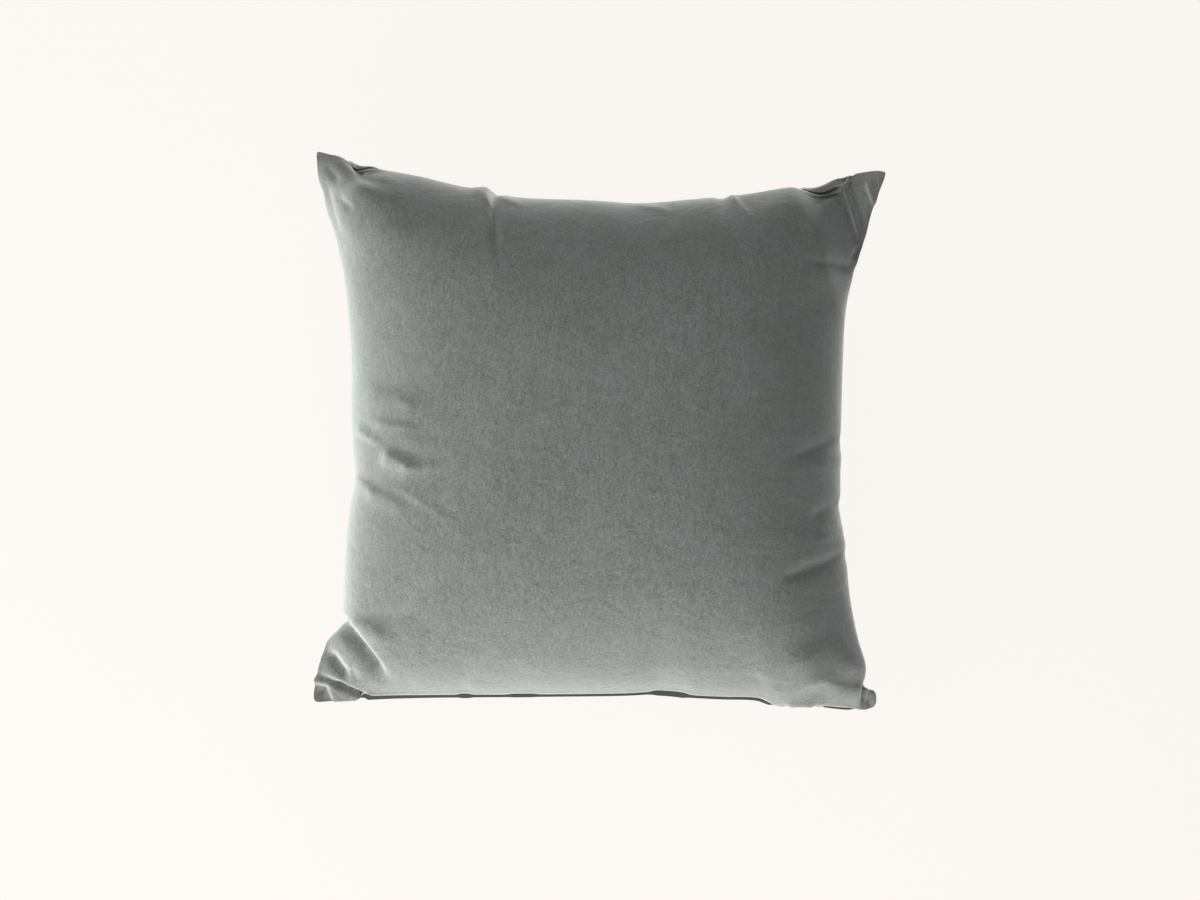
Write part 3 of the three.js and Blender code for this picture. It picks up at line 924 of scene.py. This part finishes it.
class StageLook(bpy.types.PropertyGroup):
    """Floor, lights and camera."""

    floor_colour: bpy.props.FloatVectorProperty(
        name="Floor", description="Colour of the floor", subtype="COLOR", size=3, default=srgb("#302f2e")
    )
    floor_glow: bpy.props.FloatVectorProperty(
        name="Floor glow",
        description="Colour of the light in the floor",
        subtype="COLOR",
        size=3,
        default=srgb("#faf6f1"),
    )
    floor_strength: bpy.props.FloatProperty(
        name="Floor strength", description="Strength of the light in the floor", default=0.98
    )
    low_light: bpy.props.FloatProperty(
        name="Low light", description="Lamp low beyond the bottom left corner", default=19.0, unit="POWER"
    )
    near_light: bpy.props.FloatProperty(
        name="Near light", description="Lamp low beyond the bottom edge", default=9.3, unit="POWER"
    )
    near_high_light: bpy.props.FloatProperty(
        name="Near high light", description="Lamp beyond the bottom edge", default=8.9, unit="POWER"
    )
    left_high_light: bpy.props.FloatProperty(
        name="Left high light", description="Lamp beyond the left edge", default=10.3, unit="POWER"
    )
    far_light: bpy.props.FloatProperty(
        name="Far light", description="Lamp beyond the top edge", default=6.0, unit="POWER"
    )
    left_under_light: bpy.props.FloatProperty(
        name="Left under light",
        description="Lamp under the lit floor, beyond the left edge",
        default=12.0,
        unit="POWER",
    )
    corner_under_light: bpy.props.FloatProperty(
        name="Corner under light",
        description="Lamp under the lit floor, beyond the top right corner",
        default=25.0,
        unit="POWER",
    )
    sky: bpy.props.FloatProperty(name="Room", description="Strength of the room's own light", default=0.07)
    lens: bpy.props.FloatProperty(
        name="Lens", description="Focal length", default=85.0, unit="CAMERA", subtype="DISTANCE_CAMERA"
    )
    frame_width: bpy.props.FloatProperty(
        name="Frame width",
        description="Width of the picture at the seam's height",
        default=1.044,
        unit="LENGTH",
    )


def size_values(scene):
    """The cover's sizes in the tables' millimetres."""
    sizes = group_values(scene.pillow_sizes)
    return {name: value if name == "fold_depth" else value / MM for name, value in sizes.items()}


class PILLOW_OT_stage(bpy.types.Operator):
    """Lay the floor, and set the camera and the lights"""

    bl_idname = "pillow.stage"
    bl_label = "Stage"

    def execute(self, context):
        scene = context.scene
        look = group_values(scene.pillow_stage)
        camera = bpy.data.cameras.new("camera")
        camera.lens = look["lens"]
        camera.sensor_width = SENSOR_WIDTH
        seat = new_object("camera", camera)
        distance = look["frame_width"] * look["lens"] / SENSOR_WIDTH
        seat.location = (*VIEW_MIDDLE, scene.pillow_sizes.seam_height + distance)
        scene.camera = seat
        reach = FLOOR_REACH
        corners = [(-reach, -reach, 0), (reach, -reach, 0), (reach, reach, 0), (-reach, reach, 0)]
        floor = new_object("floor", new_mesh("floor", corners, [[0, 1, 2, 3]]))
        floor.data.materials.append(lit_acrylic(look))
        # Only the camera sees the floor, so it neither lights nor shades the pillow.
        for ray in ("diffuse", "glossy", "transmission", "shadow", "volume_scatter"):
            setattr(floor, "visible_" + ray, False)
        for name, bearing, elevation in LAMPS:
            lamp = bpy.data.lights.new(name, "AREA")
            lamp.size = LAMP_SIZE
            lamp.energy = look[name]
            stand = new_object(name, lamp)
            turn, lift = math.radians(bearing), math.radians(elevation)
            stand.location = (
                LAMP_DISTANCE * math.cos(turn) * math.cos(lift),
                LAMP_DISTANCE * math.sin(turn) * math.cos(lift),
                LAMP_DISTANCE * math.sin(lift) + scene.pillow_sizes.seam_height,
            )
            stand.rotation_euler = (math.radians(90 - elevation), 0.0, turn + math.radians(90))
        world = bpy.data.worlds.new("room")
        world.use_nodes = True
        world.node_tree.nodes["Background"].inputs["Color"].default_value = (1.0, 1.0, 1.0, 1.0)
        world.node_tree.nodes["Background"].inputs["Strength"].default_value = look["sky"]
        scene.world = world
        scene.view_settings.view_transform = "Standard"
        return {"FINISHED"}


class PILLOW_OT_cover(bpy.types.Operator):
    """Sew, fill and crease the pillow's cover"""

    bl_idname = "pillow.cover"
    bl_label = "Pillow cover"

    def execute(self, context):
        sizes = size_values(context.scene)
        forces = group_values(context.scene.pillow_filling)
        filling = fill_cover(sizes, forces)
        points, faces = build_cover(sizes, filling)
        points = (points + [*CROWN_MIDDLE, 0.0]) * MM
        cover = new_object("pillow_cover", new_mesh("pillow_cover", points, faces))
        cover.data.shade_smooth()
        velvet = group_values(context.scene.pillow_velvet)
        cover.data.materials.append(cotton_velvet(velvet))
        # The second material is painted shade, put on the faces along the seam where shade falls.
        cover.data.materials.append(painted_seam_shade_velvet(velvet))
        cover.data.polygons.foreach_set("material_index", painted_seam_shade_faces())
        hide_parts(NODE)
        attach(cover, BODY)
        return {"FINISHED"}


class PILLOW_PT_panel(bpy.types.Panel):
    """Lists the steps that build the pillow"""

    bl_idname = "PILLOW_PT_panel"
    bl_label = "Velvet throw pillow"
    bl_space_type = "VIEW_3D"
    bl_region_type = "UI"
    bl_category = "Pillow"

    def draw(self, context):
        for operator in OPERATORS:
            self.layout.operator(operator.bl_idname)
        for name in GROUPS:
            box = self.layout.box()
            group = getattr(context.scene, name)
            for key in group_values(group):
                box.prop(group, key)


GROUPS = {
    "pillow_sizes": PillowSizes,
    "pillow_filling": FillingForces,
    "pillow_velvet": VelvetLook,
    "pillow_stage": StageLook,
}
OPERATORS = (PILLOW_OT_stage, PILLOW_OT_cover)
CLASSES = (*GROUPS.values(), *OPERATORS, PILLOW_PT_panel)


def register():
    for kind in CLASSES:
        bpy.utils.register_class(kind)
    for name, kind in GROUPS.items():
        setattr(bpy.types.Scene, name, bpy.props.PointerProperty(type=kind))


def unregister():
    for name in GROUPS:
        delattr(bpy.types.Scene, name)
    for kind in reversed(CLASSES):
        bpy.utils.unregister_class(kind)


def main():
    register()
    bpy.ops.pillow.stage()
    bpy.ops.pillow.cover()


if __name__ == "__main__":
    main()
